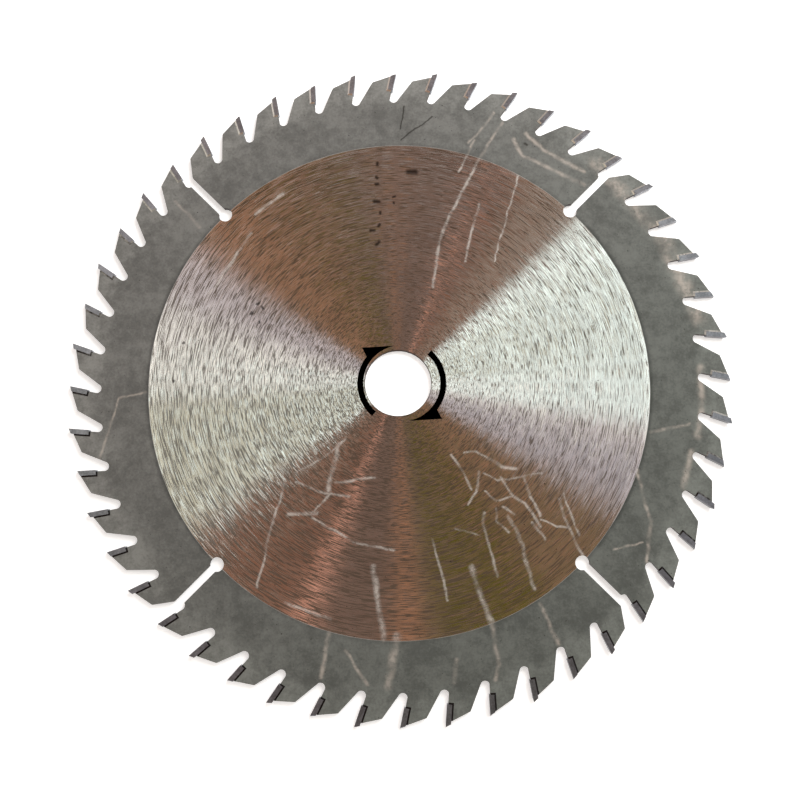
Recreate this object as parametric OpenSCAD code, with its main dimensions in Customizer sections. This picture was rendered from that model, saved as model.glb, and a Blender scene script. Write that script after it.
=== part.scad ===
// Circular saw blade with brazed carbide tips, lying flat.
// The origin is the centre of the bore at half the plate's thickness, and +Z is the bore's axis.
// Seen from +Z the blade cuts clockwise. Lengths are in millimetres, angles in degrees.

/* [Plate] */
// Diameter over the cutting edges
blade_d = 300; // [270:1:340]
// Thickness of the steel plate
plate_t = 2.2; // [1.8:0.1:2.8]
// Diameter of the arbor bore
bore_d = 30; // [20:0.1:60]
// Edge break at each end of the bore
bore_chamfer = 0.25; // [0.1:0.05:0.5]

/* [Teeth] */
// Number of teeth
tooth_count = 48; // [36:4:56]
// Forward lean of the cutting face from the radius
hook_angle = 12; // [6:1:16]
// Radial depth of the gullet below the cutting edge
gullet_depth = 15.2; // [13.5:0.1:18]
// Radius of the gullet root
gullet_r = 2; // [1.5:0.1:2.4]
// Distance that the gullet wall stands back from the cutting face
face_stand = 0.6; // [0.2:0.05:1]
// Distance down the face from the cutting edge to the plate's shoulder
shoulder_drop = 2.4; // [1.8:0.1:4]
// Length of the straight land behind the tip
land_length = 9.2; // [6:0.1:9.8]
// Fall of the land from the tangent
land_angle = 19; // [14:1:24]
// Radius of the corner where the land meets the back of the tooth
heel_r = 0.8; // [0.3:0.1:2]

/* [Carbide tips] */
// Length of a tip down its face
tip_length = 9.3; // [7:0.1:10.5]
// Thickness of a tip behind its face
tip_thickness = 2.2; // [2:0.1:3.2]
// Distance that the cutting edge stands out from each face of the plate
tip_overhang = 0.5; // [0.35:0.05:0.8]
// Fall of the top from the tangent, behind the cutting edge
top_clearance = 17; // [10:1:20]
// Slope of the top across the blade, to alternate sides
top_bevel = 16; // [5:1:20]
// Inward taper of the flanks down the face
radial_clearance = 1; // [0.5:0.1:1.2]
// Inward taper of the flanks behind the face
side_clearance = 2; // [1:0.1:2.5]

/* [Braze] */
// Thickness of the filler between a tip and its seat
braze_t = 0.15; // [0.05:0.01:0.3]
// Width of the fillet that the filler leaves on the plate's faces
fillet_w = 0.6; // [0.4:0.1:1.4]

/* [Expansion slots] */
// Number of slots, each on the radius through a cutting edge
slot_count = 4; // [3:1:6]
// Width of a slot
slot_w = 3.6; // [2:0.1:4.4]
// Distance from the gullet root to the centre of the hole at the slot's end
slot_length = 21.3; // [12:0.1:30]
// Diameter of the hole at the slot's end
slot_hole_d = 6.4; // [5:0.1:9]

/* [Hidden] */
$fn = 96;

tip_r = blade_d / 2;
root_r = tip_r - gullet_depth;
kerf = plate_t + 2 * tip_overhang;
pitch = 360 / tooth_count;

// Clearances of the cutters, and the slight undercut that sets the round root off from its walls
margin = 1;
root_relief = 0.03;
heel_steps = 3;

// Directions in the plane of tooth 0: down the face, and square to it towards the back
face_dir = [-cos(hook_angle), sin(hook_angle)];
back_dir = [sin(hook_angle), cos(hook_angle)];

// A point of tooth 0 at a distance down the face and a distance behind it
function tooth_point(down, behind) = [tip_r, 0] + down * face_dir + behind * back_dir;
function turned(p, angle) = [
    p.x * cos(angle) - p.y * sin(angle),
    p.x * sin(angle) + p.y * cos(angle)
];

// Gullet root, tangent to the wall below the tip
wall_end = (gullet_depth - gullet_r + (face_stand - gullet_r) * sin(hook_angle)) / cos(hook_angle);
root_centre = tooth_point(wall_end, face_stand - gullet_r);

// Seat of the tip and land behind it
seat_down = tip_length + braze_t;
seat_behind = tip_thickness + braze_t;
land_start = tooth_point(shoulder_drop, seat_behind);
land_dir = [-sin(land_angle), cos(land_angle)];
heel = land_start + land_length * land_dir;

// Back of the tooth ahead, tangent to this gullet's root
heel_ahead = turned(heel, -pitch);
to_root = root_centre - heel_ahead;
back_angle = atan2(to_root.y, to_root.x) + asin(gullet_r / norm(to_root));
back_length = sqrt(norm(to_root) ^ 2 - gullet_r ^ 2);
back_end = heel_ahead + back_length * [cos(back_angle), sin(back_angle)];

// Rounded heel between the land and the back of the tooth
land_heading = 90 + land_angle;
heel_turn = back_angle + pitch - land_heading;
heel_trim = heel_r * tan(heel_turn / 2);
heel_centre = heel - heel_trim * land_dir + heel_r * turned(land_dir, 90);
heel_arc = [
    for (s = [0 : heel_steps])
        heel_centre + heel_r * turned(land_dir, heel_turn * s / heel_steps - 90)
];

// One pitch of the outline, from the gullet ahead of the tip to the heel behind it
tooth_outline = concat(
    [
        back_end,
        tooth_point(wall_end, face_stand),
        tooth_point(seat_down, face_stand),
        tooth_point(seat_down, seat_behind),
        land_start
    ],
    heel_arc
);
plate_outline = [for (i = [0 : tooth_count - 1]) for (p = tooth_outline) turned(p, i * pitch)];

// Tip and fillet, seen square to the cutting face
top_fall = top_clearance + hook_angle;
fillet_toe_down = seat_down + fillet_w;
fillet_toe_behind = seat_behind + fillet_w;
fillet_start = shoulder_drop + fillet_w * tan(land_angle + hook_angle);
fillet_top = kerf / 2 - tip_thickness * tan(side_clearance) - tip_length * tan(radial_clearance);
fillet_slope = (fillet_top - plate_t / 2) / (braze_t + fillet_w);

function tip_name(i) = str("carbide_tip_", i < 9 ? "0" : "", i + 1);
function slot_tooth(j) = round((j + 0.5) * tooth_count / slot_count);

// Places a shape on tooth i with +X up the cutting face, +Y behind it and the cutting edge at the origin
module on_face(i) {
    rotate(i * pitch) translate([tip_r, 0, 0]) rotate(-hook_angle) children();
}

// Extrudes a section drawn in X and Z along Y
module along_y(from, to) {
    translate([0, to, 0]) rotate([90, 0, 0]) linear_extrude(to - from) children();
}

// Extrudes a section drawn in Y and Z along X
module along_x(from, to) {
    translate([from, 0, 0]) rotate([90, 0, 90]) linear_extrude(to - from) children();
}

module gullet_root() {
    translate(root_centre) circle(gullet_r + root_relief);
}

module expansion_slot() {
    hole_at = root_r - slot_length;
    slot_out = root_r + 2 * gullet_r;
    translate([hole_at, 0]) circle(d = slot_hole_d);
    translate([hole_at, -slot_w / 2]) square([slot_out - hole_at, slot_w]);
}

module bore_cutter() {
    bore_r = bore_d / 2;
    half = plate_t / 2;
    mouth_r = bore_r + bore_chamfer + margin;
    rotate_extrude() polygon([
        [0, -half - margin],
        [mouth_r, -half - margin],
        [bore_r, -half + bore_chamfer],
        [bore_r, half - bore_chamfer],
        [mouth_r, half + margin],
        [0, half + margin]
    ]);
}

module plate() {
    color("lightslategray") difference() {
        linear_extrude(plate_t, center = true) difference() {
            polygon(plate_outline);
            for (i = [0 : tooth_count - 1]) rotate(i * pitch) gullet_root();
            for (j = [0 : slot_count - 1]) rotate(slot_tooth(j) * pitch) expansion_slot();
        }
        bore_cutter();
    }
}

// Half space below the flank on one side, tapered down the face and behind it
module flank(side) {
    reach = 2 * (tip_length + tip_thickness);
    mirror([0, 0, side < 0 ? 1 : 0]) translate([0, 0, kerf / 2])
        rotate([-side_clearance, -radial_clearance, 0])
            translate([-reach, -reach, -reach]) cube([2 * reach, 2 * reach, reach]);
}

// Block below the top of a tip, which falls from the cutting edge and slopes across the blade
module under_top(side) {
    reach = 2 * tip_length;
    function height(z) = (side * z - kerf / 2) * tan(top_bevel);
    rotate(top_fall) along_y(-reach, reach) polygon([
        [-reach, -kerf],
        [height(-kerf), -kerf],
        [height(kerf), kerf],
        [-reach, kerf]
    ]);
}

module carbide_tip(i) {
    high_side = i % 2 == 0 ? -1 : 1;
    color("dimgray") on_face(i) intersection() {
        translate([0, 0, -kerf]) linear_extrude(2 * kerf) polygon([
            [margin, 0],
            [margin, tip_thickness],
            [-tip_length, tip_thickness],
            [-tip_length, 0]
        ]);
        flank(1);
        flank(-1);
        under_top(high_side);
    }
}

// Half section of the fillet: full height at the tip, falling to the plate past its toe
function fillet_section(start, tip_at, toe) = [
    [start, fillet_top],
    [tip_at, fillet_top],
    [toe + margin, plate_t / 2 - fillet_slope * margin],
    [toe + margin, -plate_t / 2 + fillet_slope * margin],
    [tip_at, -fillet_top],
    [start, -fillet_top]
];

module braze_joint() {
    difference() {
        intersection() {
            along_x(-fillet_toe_down - margin, -fillet_start)
                polygon(fillet_section(face_stand, tip_thickness, fillet_toe_behind));
            along_y(face_stand, fillet_toe_behind + margin)
                mirror([1, 0]) polygon(fillet_section(fillet_start, tip_length, fillet_toe_down));
        }
        translate([-tip_length, -margin, -kerf]) cube([tip_length, tip_thickness + margin, 2 * kerf]);
        linear_extrude(plate_t, center = true) polygon([
            [-fillet_start + margin, seat_behind],
            [-fillet_start + margin, fillet_toe_behind + 2 * margin],
            [-fillet_toe_down - 2 * margin, fillet_toe_behind + 2 * margin],
            [-fillet_toe_down - 2 * margin, -margin],
            [-seat_down, -margin],
            [-seat_down, seat_behind]
        ]);
    }
}

module braze_joints() {
    color("darkkhaki") for (i = [0 : tooth_count - 1]) on_face(i) braze_joint();
}

plate();
braze_joints();
for (i = [0 : tooth_count - 1])
    carbide_tip(i);
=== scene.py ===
import math

import bpy
from mathutils import Matrix, Vector


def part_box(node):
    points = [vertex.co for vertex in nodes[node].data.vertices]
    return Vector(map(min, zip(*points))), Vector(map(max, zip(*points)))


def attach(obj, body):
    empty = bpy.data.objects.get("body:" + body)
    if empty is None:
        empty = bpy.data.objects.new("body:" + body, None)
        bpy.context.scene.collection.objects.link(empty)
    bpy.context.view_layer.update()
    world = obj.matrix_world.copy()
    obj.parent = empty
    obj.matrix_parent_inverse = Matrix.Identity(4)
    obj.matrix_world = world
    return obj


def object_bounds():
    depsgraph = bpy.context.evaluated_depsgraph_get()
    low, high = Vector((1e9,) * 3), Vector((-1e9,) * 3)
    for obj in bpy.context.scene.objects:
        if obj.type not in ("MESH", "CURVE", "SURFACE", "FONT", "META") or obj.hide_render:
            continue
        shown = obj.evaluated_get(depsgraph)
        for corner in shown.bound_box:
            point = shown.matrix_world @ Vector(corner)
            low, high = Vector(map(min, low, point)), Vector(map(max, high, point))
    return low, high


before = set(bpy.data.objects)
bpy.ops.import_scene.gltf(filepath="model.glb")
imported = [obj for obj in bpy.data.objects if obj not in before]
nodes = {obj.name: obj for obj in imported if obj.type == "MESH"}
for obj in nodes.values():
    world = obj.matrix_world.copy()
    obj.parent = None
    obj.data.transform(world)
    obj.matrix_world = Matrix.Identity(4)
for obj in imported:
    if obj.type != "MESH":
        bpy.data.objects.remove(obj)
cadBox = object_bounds()
mm = 0.001

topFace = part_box("plate")[1].z  # the printed face
restHeight = cadBox[0].z  # the tips stand lower than the plate
toothCount = sum(name.startswith("carbide_tip") for name in nodes)
print("frame loaded:", len(nodes), "nodes,", toothCount, "teeth")


# Small helpers for the node trees

def fill(tree, socket, value):
    if isinstance(value, bpy.types.NodeSocket):
        tree.links.new(value, socket)
    else:
        socket.default_value = value


def addNode(tree, kind, inputs=(), **settings):
    node = tree.nodes.new(kind)
    for name, value in settings.items():
        setattr(node, name, value)
    pairs = inputs.items() if isinstance(inputs, dict) else enumerate(inputs)
    for key, value in pairs:
        fill(tree, node.inputs[key], value)
    return node


def calc(tree, operation, *values):
    return addNode(tree, "ShaderNodeMath", values, operation=operation).outputs[0]


def product(tree, first, *others):
    for other in others:
        first = calc(tree, "MULTIPLY", first, other)
    return first


def weighted(tree, values, shares):
    total = None
    for value, share in zip(values, shares):
        part = calc(tree, "MULTIPLY", value, share)
        total = part if total is None else calc(tree, "ADD", total, part)
    return total


def vector(tree, operation, *values, output=0):
    return addNode(tree, "ShaderNodeVectorMath", values, operation=operation).outputs[output]


def dot(tree, first, second):
    return vector(tree, "DOT_PRODUCT", first, second, output="Value")


def scaled(tree, value, amount):
    return addNode(tree, "ShaderNodeVectorMath", {0: value, "Scale": amount}, operation="SCALE").outputs[0]


def flattened(tree, value):
    return vector(tree, "MULTIPLY", value, (1, 1, 0))


def centred(tree, value):
    return vector(tree, "SUBTRACT", value, (0.5, 0.5, 0.5))


def ramp(tree, value, low, high, start=0.0, end=1.0):
    inputs = {"Value": value, "From Min": low, "From Max": high, "To Min": start, "To Max": end}
    return addNode(tree, "ShaderNodeMapRange", inputs, interpolation_type="SMOOTHSTEP").outputs[0]


def mixed(tree, amount, first, second):
    return addNode(tree, "ShaderNodeMix", {0: amount, 6: first, 7: second}, data_type="RGBA").outputs[2]


def mixedValue(tree, amount, first, second):
    return addNode(tree, "ShaderNodeMix", {0: amount, 2: first, 3: second}).outputs[0]


def mixedVector(tree, amount, first, second):
    return addNode(tree, "ShaderNodeMix", {0: amount, 4: first, 5: second}, data_type="VECTOR").outputs[1]


def noise(tree, place, scale, detail, roughness=0.5, output="Fac"):
    inputs = {"Vector": place, "Scale": scale, "Detail": detail, "Roughness": roughness}
    return addNode(tree, "ShaderNodeTexNoise", inputs).outputs[output]


def colour(red, green, blue):
    return (red, green, blue, 1.0)


def newMaterial(name):
    material = bpy.data.materials.new(name)
    material.use_nodes = True
    tree = material.node_tree
    return material, tree, tree.nodes["Principled BSDF"]


def finishNode(name, material):
    for slot in nodes[name].material_slots:
        slot.material = material


# Camera

camera = {
    "place": (7.46, -61.71, 378.04),  # mm
    "turn": -0.459,  # degrees about Z, then X, then Y
    "tilt": 8.139,
    "lean": 1.057,
    "lens": 38.05,
    "sensor": 36.0,
    "clip": (0.01, 50.0),
}

cameraData = bpy.data.cameras.new("camera")
cameraData.lens = camera["lens"]
cameraData.sensor_width = camera["sensor"]
cameraData.clip_start, cameraData.clip_end = camera["clip"]
cameraObject = bpy.data.objects.new("camera", cameraData)
bpy.context.scene.collection.objects.link(cameraObject)
turned = Matrix.Identity(4)
for angle, axis in ((camera["turn"], "Z"), (camera["tilt"], "X"), (camera["lean"], "Y")):
    turned = turned @ Matrix.Rotation(math.radians(angle), 4, axis)
cameraObject.matrix_world = Matrix.Translation(Vector(camera["place"]) * mm) @ turned
bpy.context.scene.camera = cameraObject
print("camera set")


# Floor

floorLook = {
    "size": 8.0,
    "colour": colour(0.9, 0.9, 0.895),
    "roughness": 0.9,
    "shine": 0.1,
    "glow": colour(1, 1, 1),
    "lift": 0.5,  # keeps the background white
}


def makeFloor(look):
    bpy.ops.object.select_all(action="DESELECT")
    bpy.ops.mesh.primitive_plane_add(size=look["size"], location=(0, 0, restHeight))
    floor = bpy.context.object
    floor.name = "floor"
    bpy.ops.object.transform_apply(location=True)
    material, tree, shader = newMaterial("floorPaper")
    shader.inputs["Base Color"].default_value = look["colour"]
    shader.inputs["Roughness"].default_value = look["roughness"]
    shader.inputs["Specular IOR Level"].default_value = look["shine"]
    shader.inputs["Emission Color"].default_value = look["glow"]
    path = addNode(tree, "ShaderNodeLightPath").outputs
    seen = calc(tree, "MAXIMUM", path["Is Camera Ray"], path["Is Glossy Ray"])
    seen = calc(tree, "MAXIMUM", seen, path["Is Transmission Ray"])
    fill(tree, shader.inputs["Emission Strength"], calc(tree, "MULTIPLY", seen, look["lift"]))
    floor.data.materials.append(material)


makeFloor(floorLook)
print("floor made")


# Studio: coloured cards hang round the camera's mirror image, and the ground rings show them as wedges

studio = {
    "apex": (-0.0195, 0.1611, 0.0),  # unit direction to the camera's mirror image, without its height
    "horizon": colour(0.7, 0.7, 0.69),  # plain below the cards
    "horizonEdge": (0.38, 0.72),
    "hood": colour(0.16, 0.11, 0.078),  # dark round the camera's mirror image
    "hoodEdge": (0.07, 0.16),
    "white": colour(1.19, 1.3, 1.27),
    "gleam": colour(1.43, 1.56, 1.52),
    "mauve": colour(0.72, 0.62, 0.64),
    "lilac": colour(0.5, 0.45, 0.49),
    "cream": colour(1.17, 1.11, 1.04),
    "linen": colour(0.71, 0.66, 0.52),
    "beige": colour(0.34, 0.25, 0.2),
    "umber": colour(0.192, 0.118, 0.096),
    "dusk": colour(0.182, 0.107, 0.082),
    "bark": colour(0.2, 0.126, 0.065),
    "copper": colour(0.385, 0.175, 0.098),
    "rust": colour(0.25, 0.106, 0.064),
    "amber": colour(0.88, 0.41, 0.29),
    "olive": colour(0.11, 0.085, 0.008),
    "cards": (  # degrees, counter-clockwise from +X
        (0, "white"), (26, "white"), (33, "gleam"), (39, "gleam"), (42, "beige"), (52, "beige"),
        (62, "umber"), (100, "umber"), (136, "copper"), (143, "copper"), (151, "mauve"), (157, "mauve"),
        (167, "cream"), (181, "cream"), (187, "linen"), (212, "linen"), (219, "rust"), (243, "rust"),
        (248, "amber"), (253, "dusk"), (266, "dusk"), (269, "copper"), (274, "copper"), (277, "bark"),
        (282, "olive"), (302, "olive"), (308, "bark"), (325, "bark"), (334, "lilac"), (342, "lilac"),
        (347, "mauve"), (352, "white"),
    ),
    "keyPlace": (0.27, 0.32, 0.46),
    "keySize": 0.35,
    "keyPower": 3.0,
}


def makeWorld(look):
    world = bpy.data.worlds.new("studio")
    bpy.context.scene.world = world
    world.use_nodes = True
    tree = world.node_tree
    direction = addNode(tree, "ShaderNodeTexCoord").outputs["Generated"]
    around = vector(tree, "SUBTRACT", direction, look["apex"])
    turn = addNode(tree, "ShaderNodeTexGradient", {"Vector": around}, gradient_type="RADIAL").outputs["Fac"]
    turn = calc(tree, "FRACT", calc(tree, "ADD", turn, 0.5))  # 0 at +X, counter-clockwise
    cards = addNode(tree, "ShaderNodeValToRGB", {"Fac": turn})
    stops = cards.color_ramp.elements
    stops.remove(stops[1])
    for number, (angle, name) in enumerate(look["cards"]):
        stop = stops[0] if number == 0 else stops.new(angle / 360)
        stop.position = angle / 360
        stop.color = look[name]
    spread = vector(tree, "LENGTH", flattened(tree, around), output="Value")
    shade = mixed(tree, ramp(tree, spread, *look["hoodEdge"]), look["hood"], cards.outputs["Color"])
    height = addNode(tree, "ShaderNodeSeparateXYZ", (direction,)).outputs["Z"]
    shade = mixed(tree, ramp(tree, height, *look["horizonEdge"]), look["horizon"], shade)
    fill(tree, tree.nodes["Background"].inputs["Color"], shade)


def makeKey(look):
    data = bpy.data.lights.new("keyLight", "AREA")
    data.energy = look["keyPower"]
    data.size = look["keySize"]
    key = bpy.data.objects.new("keyLight", data)
    bpy.context.scene.collection.objects.link(key)
    key.location = look["keyPlace"]
    key.rotation_mode = "QUATERNION"
    key.rotation_quaternion = (-Vector(look["keyPlace"])).to_track_quat("-Z", "Y")
    key.visible_camera = False
    key.visible_glossy = False


makeWorld(studio)
makeKey(studio)
bpy.context.scene.view_settings.view_transform = "Standard"
print("studio lit")


# Plate: ground in rings inside, blasted grey outside

plateLook = {
    "zoneRadius": 113.2,  # mm, border of the ground zone
    "zoneBlend": 0.2,  # mm
    "groundColour": colour(0.74, 0.74, 0.71),
    "groundRoughness": 0.13,
    "groundMetal": 1.0,
    "anisotropy": 1.0,
    "lines": (11, 2300, 1),  # ring noise: features a radian round, features a metre out, and detail
    "fine": (19, 3700, 0),
    "lineShares": (0.6, 0.4),
    "scoreEdge": (0.42, 0.475),
    "deepWay": (-0.024, -0.026, 0.0),  # there are more scores towards the lower left
    "polish": (1.05, 0.72),  # off and on the scores
    "bands": (2.5, 160, 2),
    "bandEdge": (0.3, 0.7),
    "bandDepth": (0.94, 1.06),
    "rimHighlightWidth": 3.0,  # mm, painted highlight along the edge of the ground zone
    "rimHighlightGain": 1.15,
    "slopes": (12, 12000, 1),
    "slopeEdge": (0.28, 0.72),
    "lean": 0.3,  # steepest slope of the grain lines, in and out
    "scoreLean": -1.28,  # slope of the scores, a metre from the centre
    "strays": (10, 2200, 1),
    "strayReach": 0.25,
    "blastedLitTone": colour(0.197, 0.197, 0.187),
    "blastedShadedTone": colour(0.146, 0.157, 0.144),
    "paintedLightWay": (-0.766, 0.643, 0.0),  # painted light: the blasted ring is painted lighter and warmer towards the upper left, darker towards the lower right
    "paintedLightReach": 120.0,  # mm
    "blastedRoughness": 0.6,
    "blastedMetal": 0.3,
    "blastedGrain": (1600, 1),
    "cloud": (45, 4, 0.6),  # noise: scale, detail and roughness
    "cloudEdge": (0.3, 0.7),
    "blotch": (260, 3, 0.6),
    "grit": (900, 3, 0.7),
    "gritStrength": 0.4,
    "gritHeight": 0.03,  # mm
    "mottleShares": (0.4, 0.3, 0.3),
    "mottleEdge": (0.38, 0.62),
    "mottleDepth": (0.74, 1.26),
    "shadeLineWidth": 2.2,  # mm, painted shade line round the ground zone
    "shadeLineSides": (0.55, 0.9),  # painted darkest at the left and right
    "shadeLineDepth": (0.9, 0.55),
    "toothZone": (131.0, 141.0),  # mm, paler past the gullets
    "toothRagged": 3.0,  # mm
    "toothPale": 1.3,
    "levelEdge": (0.75, 0.95),  # what faces up or down less than this is a cut wall, painted dark as shade
    "cutWallShade": colour(0.06, 0.042, 0.036),
    "cutRoughness": 0.5,
    "cutMetal": 0.2,
    "upperEdge": (0.4, 0.6),  # rubs and stains lie on the printed face
    "sway": (70, 4, 0.6),
    "swayReach": 4.0,  # mm
    "broken": (350, 4, 0.65),
    "brokenEdge": (0.36, 0.6),
    "brokenDepth": (0.35, 1.0),
    "faded": (110, 2),
    "fadedEdge": (0.35, 0.6),
    "fadedDepth": (0.4, 1.15),
    "film": colour(0.62, 0.54, 0.47),
    "filmDepth": 0.48,
    "marks": (  # width and course in mm, pale rubs
        (1.0, (-51, -45), (-57, -66), (-62, -90)), (1.0, (-46, -44), (-35, -49), (-22, -50.5)),
        (1.3, (-49, -58), (-36, -58)), (1.0, (-46, -40), (-35, -35), (-24, -26)),
        (0.9, (-28, -45), (-11, -42.5)), (1.6, (-27, -28), (-29.5, -40), (-31, -48)),
        (0.9, (-31, -50), (-37, -57)), (1.0, (-38, -60), (-20, -71), (-2, -74.5)),
        (1.1, (-50, -97), (-30, -104)), (2.0, (-11, -82), (-7, -112)), (1.7, (-31, -110), (-34, -128)),
        (1.2, (-23, -117), (-14, -131)), (2.8, (-1, -111), (-5, -132)),
        (1.1, (71, -52), (73, -60), (80.5, -77)), (0.9, (73, -50), (79.5, -68)),
        (1.1, (55.5, -43), (62, -60)), (1.1, (46, -43), (51, -51), (56, -54), (62, -65)),
        (1.2, (40, -34.5), (46, -38), (52, -38.5)),
        (0.8, (38, -41), (44, -44), (63, -41)), (0.8, (43, -53), (50, -51)), (1.1, (58.5, -63), (64, -70)),
        (0.8, (62, -61.5), (69, -64.5), (75, -64.5)), (1.3, (48, -60), (54, -72), (59, -92)),
        (1.1, (38, -58), (37, -63), (43, -86)), (0.8, (25, -65.5), (35, -68)),
        (0.8, (43, -56), (43, -62), (48, -67)), (1.0, (15, -70), (21, -96)), (2.0, (32, -82), (40, -107)),
        (1.6, (40, -107), (43, -123), (41, -129)), (1.4, (61, -98), (69, -114)),
        (1.5, (25, -121), (24, -131)), (1.2, (112, -23), (130, -19.8)),
        (1.4, (106.3, -40.5), (108.3, -55), (111, -62), (107.7, -80)),
        (0.8, (93.5, -74.5), (107, -71.5)), (2.6, (136, 6), (135.5, -10), (133.5, -25)),
        (2.6, (130, -32), (126, -47)), (5.5, (137, 28), (121, 69), (93, 103)),
        (1.2, (49.5, 124), (40, 108), (30, 90), (20, 69), (16.5, 45)), (1.0, (46, 129), (34, 114)),
        (1.0, (36.5, 115), (29, 100)), (1.0, (38, 84), (31, 57)), (0.8, (56.5, 97.5), (45, 57)),
        (1.6, (60, 119), (69, 110), (87, 99)), (1.6, (55, 116), (59, 107), (87, 93)),
        (1.4, (-53, 90), (-66, 81)), (1.2, (-68, 71), (-89, 39)), (1.2, (-104, 87), (-92, 74)),
        (0.9, (-115, -3), (-126.5, -6), (-134, -34)), (0.9, (23.5, -32.5), (28.5, -39), (32, -48)),
        (1.0, (36, -40.5), (34, -49.5), (31, -54.5)), (0.9, (29.5, -31.5), (35, -31), (40, -34.5)),
        (0.8, (38, -49), (43, -53)), (0.9, (46, -55.5), (51, -59)),
    ),
    "soot": colour(0.03, 0.026, 0.022),
    "sootDepth": 0.85,
    "pits": (950, 1),
    "pitEdge": (0.73, 0.78),
    "stains": (  # width and course in mm, dark spots and scratches
        (2.4, (5.5, 99.8), (8.5, 99.8)), (1.3, (-9, 104.5), (-9, 103.5)), (1.0, (-9, 98), (-8.5, 97.5)),
        (1.2, (-9.5, 94.5), (-8.5, 94.5)), (1.4, (-10.5, 86), (-8.5, 86)), (1.0, (-8, 81), (-8, 80)),
        (1.1, (-8, 74.5), (-8.5, 73.5)), (1.3, (-12, 71.5), (-10.5, 71.5)), (1.6, (-10, 65), (-8.5, 66)),
        (0.8, (-1.5, 88), (-0.5, 88)), (0.9, (-1.5, 85.5), (-1.5, 85)), (1.1, (-67.5, 33), (-67, 33.5)),
        (1.0, (-64.5, 37.5), (-63.5, 38)), (0.9, (-62, 36), (-61.5, 35)), (0.9, (-63, 29), (-63, 28.5)),
        (0.9, (-101.5, 1.5), (-101.5, 2)), (0.8, (-97.5, 18.5), (-97, 18.5)), (1.0, (60, 114), (61, 113)),
        (0.6, (4, 133), (1.5, 121)), (0.6, (17, 127), (2, 116)),
    ),
}


def ringNoise(tree, outward, radius, along, across, detail, output="Fac"):
    upright = addNode(tree, "ShaderNodeCombineXYZ", {"Z": calc(tree, "MULTIPLY", radius, across)}).outputs[0]
    place = vector(tree, "ADD", scaled(tree, outward, along), upright)
    return noise(tree, place, 1.0, detail, output=output)


def strokes(tree, drawn, courses):
    shown = None
    for width, *points in courses:
        corners = [Vector((*point, 0)) * mm for point in points]
        nearest = None
        for start, end in zip(corners, corners[1:]):
            run = end - start
            offset = vector(tree, "SUBTRACT", drawn, start)
            share = dot(tree, offset, run / run.length_squared)
            share = addNode(tree, "ShaderNodeClamp", (share,)).outputs[0]
            reach = vector(tree, "DISTANCE", offset, scaled(tree, run, share), output="Value")
            nearest = reach if nearest is None else calc(tree, "MINIMUM", nearest, reach)
        stroke = ramp(tree, nearest, 0.0, width * mm, 1.0, 0.0)
        shown = stroke if shown is None else calc(tree, "MAXIMUM", shown, stroke)
    return shown


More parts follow.
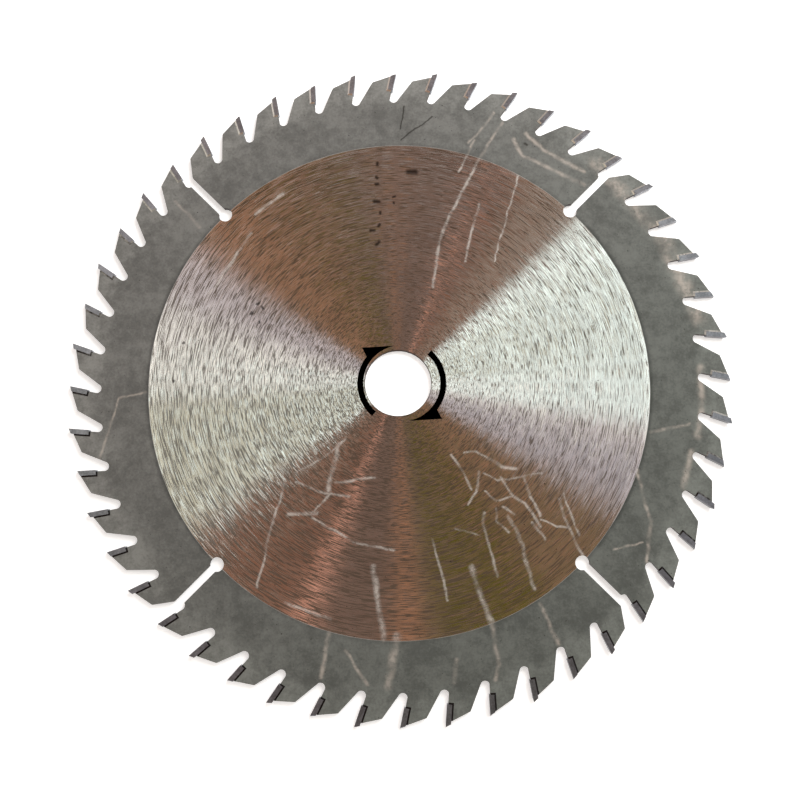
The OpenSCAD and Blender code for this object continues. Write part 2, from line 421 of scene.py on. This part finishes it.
def plateSteel(look):
    material, tree, shader = newMaterial("plateSteel")
    place = addNode(tree, "ShaderNodeTexCoord").outputs["Object"]
    flat = flattened(tree, place)
    radius = vector(tree, "LENGTH", flat, output="Value")
    outward = vector(tree, "NORMALIZE", flat)
    normal = addNode(tree, "ShaderNodeNewGeometry").outputs["Normal"]
    facing = addNode(tree, "ShaderNodeSeparateXYZ", (normal,)).outputs["Z"]
    zone = look["zoneRadius"] * mm
    blend = look["zoneBlend"] * mm
    blasted = ramp(tree, radius, zone - blend, zone + blend)

    # Ground rings
    lines = ringNoise(tree, outward, radius, *look["lines"])
    fine = ringNoise(tree, outward, radius, *look["fine"])
    bands = ringNoise(tree, outward, radius, *look["bands"])
    grind = weighted(tree, (lines, fine), look["lineShares"])
    grind = calc(tree, "SUBTRACT", grind, dot(tree, outward, look["deepWay"]))
    score = ramp(tree, grind, *look["scoreEdge"], 1.0, 0.0)
    polish = ramp(tree, score, 0.0, 1.0, *look["polish"])
    polish = calc(tree, "MULTIPLY", polish, ramp(tree, bands, *look["bandEdge"], *look["bandDepth"]))
    # painted highlight: the ground zone is painted paler just inside its edge
    rimHighlight = ramp(tree, radius, zone - look["rimHighlightWidth"] * mm, zone, 1.0, look["rimHighlightGain"])
    ground = scaled(tree, look["groundColour"][:3], calc(tree, "MULTIPLY", polish, rimHighlight))

    # Blasted ring
    cloud = noise(tree, place, *look["cloud"])
    blotch = noise(tree, place, *look["blotch"])
    grit = noise(tree, place, *look["grit"])
    mottle = weighted(tree, (cloud, blotch, grit), look["mottleShares"])
    dull = ramp(tree, mottle, *look["mottleEdge"], *look["mottleDepth"])
    # painted shade: a dark line just outside the ground zone, darkest at the left and right
    sideways = calc(tree, "ABSOLUTE", dot(tree, outward, (1, 0, 0)))
    depth = ramp(tree, sideways, *look["shadeLineSides"], *look["shadeLineDepth"])
    paintedShadeLine = ramp(tree, radius, zone, zone + look["shadeLineWidth"] * mm, depth, 1.0)
    ragged = look["toothRagged"] * mm
    edge = calc(tree, "ADD", radius, ramp(tree, cloud, *look["cloudEdge"], -ragged, ragged))
    inner, outer = look["toothZone"]
    paler = ramp(tree, edge, inner * mm, outer * mm, 1.0, look["toothPale"])
    # painted light and shade: the blasted ring is painted lighter towards the upper left and darker towards
    # the lower right
    reach = look["paintedLightReach"] * mm
    paintedLight = ramp(tree, dot(tree, flat, look["paintedLightWay"]), -reach, reach)
    tone = mixed(tree, paintedLight, look["blastedShadedTone"], look["blastedLitTone"])
    rough = scaled(tree, tone, product(tree, dull, paintedShadeLine, paler))

    # Rubs and stains
    face = mixed(tree, blasted, ground, rough)
    upper = ramp(tree, facing, *look["upperEdge"])
    sway = centred(tree, noise(tree, place, *look["sway"], output="Color"))
    drawn = vector(tree, "ADD", flat, scaled(tree, flattened(tree, sway), look["swayReach"] * mm))
    pale = strokes(tree, drawn, look["marks"])
    broken = ramp(tree, noise(tree, place, *look["broken"]), *look["brokenEdge"], *look["brokenDepth"])
    faded = ramp(tree, noise(tree, place, *look["faded"]), *look["fadedEdge"], *look["fadedDepth"])
    pale = calc(tree, "MULTIPLY", pale, calc(tree, "MULTIPLY", broken, faded))
    pale = product(tree, pale, upper, look["filmDepth"])
    dark = calc(tree, "MULTIPLY", strokes(tree, drawn, look["stains"]), upper)
    pits = ramp(tree, noise(tree, place, *look["pits"]), *look["pitEdge"])
    dark = calc(tree, "MULTIPLY", calc(tree, "MAXIMUM", dark, pits), look["sootDepth"])
    face = mixed(tree, dark, mixed(tree, pale, face, look["film"]), look["soot"])

    # Faces, and cut walls painted dark as shade
    level = ramp(tree, calc(tree, "ABSOLUTE", facing), *look["levelEdge"])
    # painted shade: the cut walls take a near black colour
    fill(tree, shader.inputs["Base Color"], mixed(tree, level, look["cutWallShade"], face))
    metal = mixedValue(tree, blasted, look["groundMetal"], look["blastedMetal"])
    metal = mixedValue(tree, level, look["cutMetal"], metal)
    fill(tree, shader.inputs["Metallic"], mixedValue(tree, pale, metal, 0.0))
    gloss = mixedValue(tree, blasted, look["groundRoughness"], look["blastedRoughness"])
    fill(tree, shader.inputs["Roughness"], mixedValue(tree, level, look["cutRoughness"], gloss))

    # The grain lines lean in and out along the radius, and the scores lean towards the hood
    shader.inputs["Anisotropic"].default_value = look["anisotropy"]
    anyWay = centred(tree, noise(tree, place, *look["blastedGrain"], output="Color"))
    stray = centred(tree, ringNoise(tree, outward, radius, *look["strays"], output="Color"))
    stray = scaled(tree, stray, look["strayReach"])
    grain = mixedVector(tree, blasted, vector(tree, "ADD", outward, stray), anyWay)
    grain = vector(tree, "NORMALIZE", grain)
    fill(tree, shader.inputs["Tangent"], grain)
    slope = ringNoise(tree, outward, radius, *look["slopes"])
    slope = ramp(tree, slope, *look["slopeEdge"], -look["lean"], look["lean"])
    slope = mixedValue(tree, score, slope, calc(tree, "MULTIPLY", radius, look["scoreLean"]))
    slope = calc(tree, "MULTIPLY", slope, mixedValue(tree, blasted, level, 0.0))
    tilted = vector(tree, "NORMALIZE", vector(tree, "ADD", normal, scaled(tree, grain, slope)))
    height = mixedValue(tree, blasted, 0.5, grit)
    relief = {"Strength": look["gritStrength"], "Distance": look["gritHeight"] * mm}
    bump = addNode(tree, "ShaderNodeBump", {"Height": height, "Normal": tilted, **relief})
    fill(tree, shader.inputs["Normal"], bump.outputs[0])
    return material


finishNode("plate", plateSteel(plateLook))
print("plate finished")


# Carbide tips

carbideLook = {
    "colour": colour(0.29, 0.3, 0.33),
    "grain": (1200, 3, 0.6),  # noise: scale, detail and roughness
    "grainEdge": (0.3, 0.7),
    "blotch": (240, 3, 0.6),
    "blotchEdge": (0.35, 0.65),
    "depth": (0.8, 1.15),
    "tipLightWay": (-0.26, 0.966, 0.0),  # the tips are painted lighter towards this side and darker away from it, as painted light and shade
    "tipLightEdge": (-0.75, 0.8),
    "tipLightDepth": (0.75, 1.33),
    "glossEdge": (0.2, 0.8),
    "roughness": (0.34, 0.46),
    "metal": 0.8,
    "anisotropy": 0.9,
}


def groundCarbide(look):
    material, tree, shader = newMaterial("groundCarbide")
    place = addNode(tree, "ShaderNodeTexCoord").outputs["Object"]
    grain = noise(tree, place, *look["grain"])
    blotch = noise(tree, place, *look["blotch"])
    outward = vector(tree, "NORMALIZE", flattened(tree, place))
    # painted light and shade: the tips are painted lighter on one side and darker on the other
    turned = dot(tree, outward, look["tipLightWay"])
    fineShade = ramp(tree, grain, *look["grainEdge"], *look["depth"])
    wideShade = ramp(tree, blotch, *look["blotchEdge"], *look["depth"])
    shade = product(tree, fineShade, wideShade, ramp(tree, turned, *look["tipLightEdge"], *look["tipLightDepth"]))
    fill(tree, shader.inputs["Base Color"], scaled(tree, look["colour"][:3], shade))
    shader.inputs["Metallic"].default_value = look["metal"]
    fill(tree, shader.inputs["Roughness"], ramp(tree, grain, *look["glossEdge"], *look["roughness"]))
    shader.inputs["Anisotropic"].default_value = look["anisotropy"]
    fill(tree, shader.inputs["Tangent"], outward)
    return material


carbide = groundCarbide(carbideLook)
for name in nodes:
    if name.startswith("carbide_tip"):
        finishNode(name, carbide)
print("tips finished")


# Braze

brazeLook = {
    "silver": colour(0.8, 0.78, 0.72),
    "brazeShade": colour(0.008, 0.006, 0.006),
    "blotch": (500, 3, 0.6),  # noise: scale, detail and roughness
    "blotchEdge": (0.3, 0.7),
    "ragged": 0.2,
    "brazeLightWay": (0.26, 0.966, 0.0),  # the braze is painted black away from this side as painted shade, and shows bright silver towards it
    "brazeLightEdge": (-0.3, 1.0),
    "glossEdge": (0.2, 0.8),
    "roughness": (0.22, 0.42),
    "shine": 0.15,
}


def silverBraze(look):
    material, tree, shader = newMaterial("silverBraze")
    place = addNode(tree, "ShaderNodeTexCoord").outputs["Object"]
    outward = vector(tree, "NORMALIZE", flattened(tree, place))
    blotch = noise(tree, place, *look["blotch"])
    # painted shade: the braze is painted black away from one side
    turned = dot(tree, outward, look["brazeLightWay"])
    ragged = ramp(tree, blotch, *look["blotchEdge"], -look["ragged"], look["ragged"])
    bright = ramp(tree, calc(tree, "ADD", turned, ragged), *look["brazeLightEdge"])
    fill(tree, shader.inputs["Base Color"], mixed(tree, bright, look["brazeShade"], look["silver"]))
    fill(tree, shader.inputs["Metallic"], bright)
    shader.inputs["Specular IOR Level"].default_value = look["shine"]
    fill(tree, shader.inputs["Roughness"], ramp(tree, blotch, *look["glossEdge"], *look["roughness"]))
    return material


finishNode("braze_joints", silverBraze(brazeLook))
print("braze finished")


# Rotation arrows: two printed arcs with heads, round the bore

arrowLook = {
    "centre": (1.7, 0.0),  # mm, the print stands a little off the bore
    "inner": 17.4,
    "outer": 20.1,
    "tail": 228.0,  # degrees, counter-clockwise from +X
    "neck": 142.3,
    "point": 97.3,
    "barbRadius": 24.4,
    "barbAngle": 137.6,
    "headRoom": 6.0,  # the head is cut from a wider band
    "film": 0.03,
    "steps": 40,
    "weld": 1e-6,  # m, corners nearer than this become one
    "ink": colour(0.008, 0.008, 0.012),
    "worn": colour(0.2, 0.18, 0.16),
    "wear": (1500, 4, 0.7),  # noise: scale, detail and roughness
    "wearEdge": (0.66, 0.74),
    "glossEdge": (0.2, 0.8),
    "roughness": (0.42, 0.6),
}


def polar(radius, angle):
    turn = math.radians(angle)
    return Vector((radius * math.cos(turn), radius * math.sin(turn), 0)) * mm


def sweptBand(inner, outer, start, end, look):
    bpy.ops.object.select_all(action="DESELECT")
    bpy.ops.mesh.primitive_plane_add(size=1)
    band = bpy.context.object
    bpy.ops.object.mode_set(mode="EDIT")
    bpy.ops.mesh.select_all(action="SELECT")
    bpy.ops.mesh.merge(type="CENTER")
    bpy.ops.transform.translate(value=polar(inner, start))
    bpy.ops.mesh.extrude_region_move(TRANSFORM_OT_translate={"value": polar(outer - inner, start)})
    bpy.ops.mesh.select_all(action="SELECT")
    sweep = math.radians(start - end)
    bpy.ops.mesh.spin(steps=look["steps"], angle=sweep, center=(0, 0, 0), axis=(0, 0, 1))
    bpy.ops.mesh.select_all(action="SELECT")
    bpy.ops.mesh.remove_doubles(threshold=look["weld"])
    return band


def trim(first, second):
    along = second - first
    cut = Vector((-along.y, along.x, 0)).normalized()
    bpy.ops.mesh.select_all(action="SELECT")
    bpy.ops.mesh.bisect(plane_co=first, plane_no=cut, use_fill=False, clear_outer=True)


def makeArrow(name, look, half):
    barb = polar(look["barbRadius"], look["barbAngle"])
    point = polar(look["inner"], look["point"])
    neck = polar(look["outer"], look["neck"])
    head = sweptBand(look["inner"], look["barbRadius"] + look["headRoom"], look["neck"], look["point"], look)
    trim(barb, point)
    trim(neck, barb)
    bpy.ops.object.mode_set(mode="OBJECT")
    arrow = sweptBand(look["inner"], look["outer"], look["tail"], look["neck"], look)
    bpy.ops.object.mode_set(mode="OBJECT")
    head.select_set(True)
    arrow.select_set(True)
    bpy.context.view_layer.objects.active = arrow
    bpy.ops.object.join()
    bpy.ops.object.mode_set(mode="EDIT")
    bpy.ops.mesh.select_all(action="SELECT")
    bpy.ops.mesh.remove_doubles(threshold=look["weld"])
    bpy.ops.mesh.normals_make_consistent(inside=False)
    bpy.ops.mesh.select_all(action="SELECT")
    bpy.ops.transform.rotate(value=math.radians(-180 * half), orient_axis="Z", center_override=(0, 0, 0))
    shift = Vector((*look["centre"], 0)) * mm + Vector((0, 0, topFace))
    bpy.ops.transform.translate(value=shift)
    bpy.ops.object.mode_set(mode="OBJECT")
    arrow.name = name
    thick = arrow.modifiers.new("film", "SOLIDIFY")
    thick.thickness = look["film"] * mm
    thick.offset = 1.0
    bpy.ops.object.modifier_apply(modifier="film")
    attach(arrow, "root")
    return arrow


def printInk(look):
    material, tree, shader = newMaterial("printInk")
    place = addNode(tree, "ShaderNodeTexCoord").outputs["Object"]
    wear = noise(tree, place, *look["wear"])
    worn = ramp(tree, wear, *look["wearEdge"])
    fill(tree, shader.inputs["Base Color"], mixed(tree, worn, look["ink"], look["worn"]))
    fill(tree, shader.inputs["Roughness"], ramp(tree, wear, *look["glossEdge"], *look["roughness"]))
    return material


ink = printInk(arrowLook)
for half, name in enumerate(("arrow_left", "arrow_right")):
    makeArrow(name, arrowLook, half).data.materials.append(ink)
print("arrows printed")
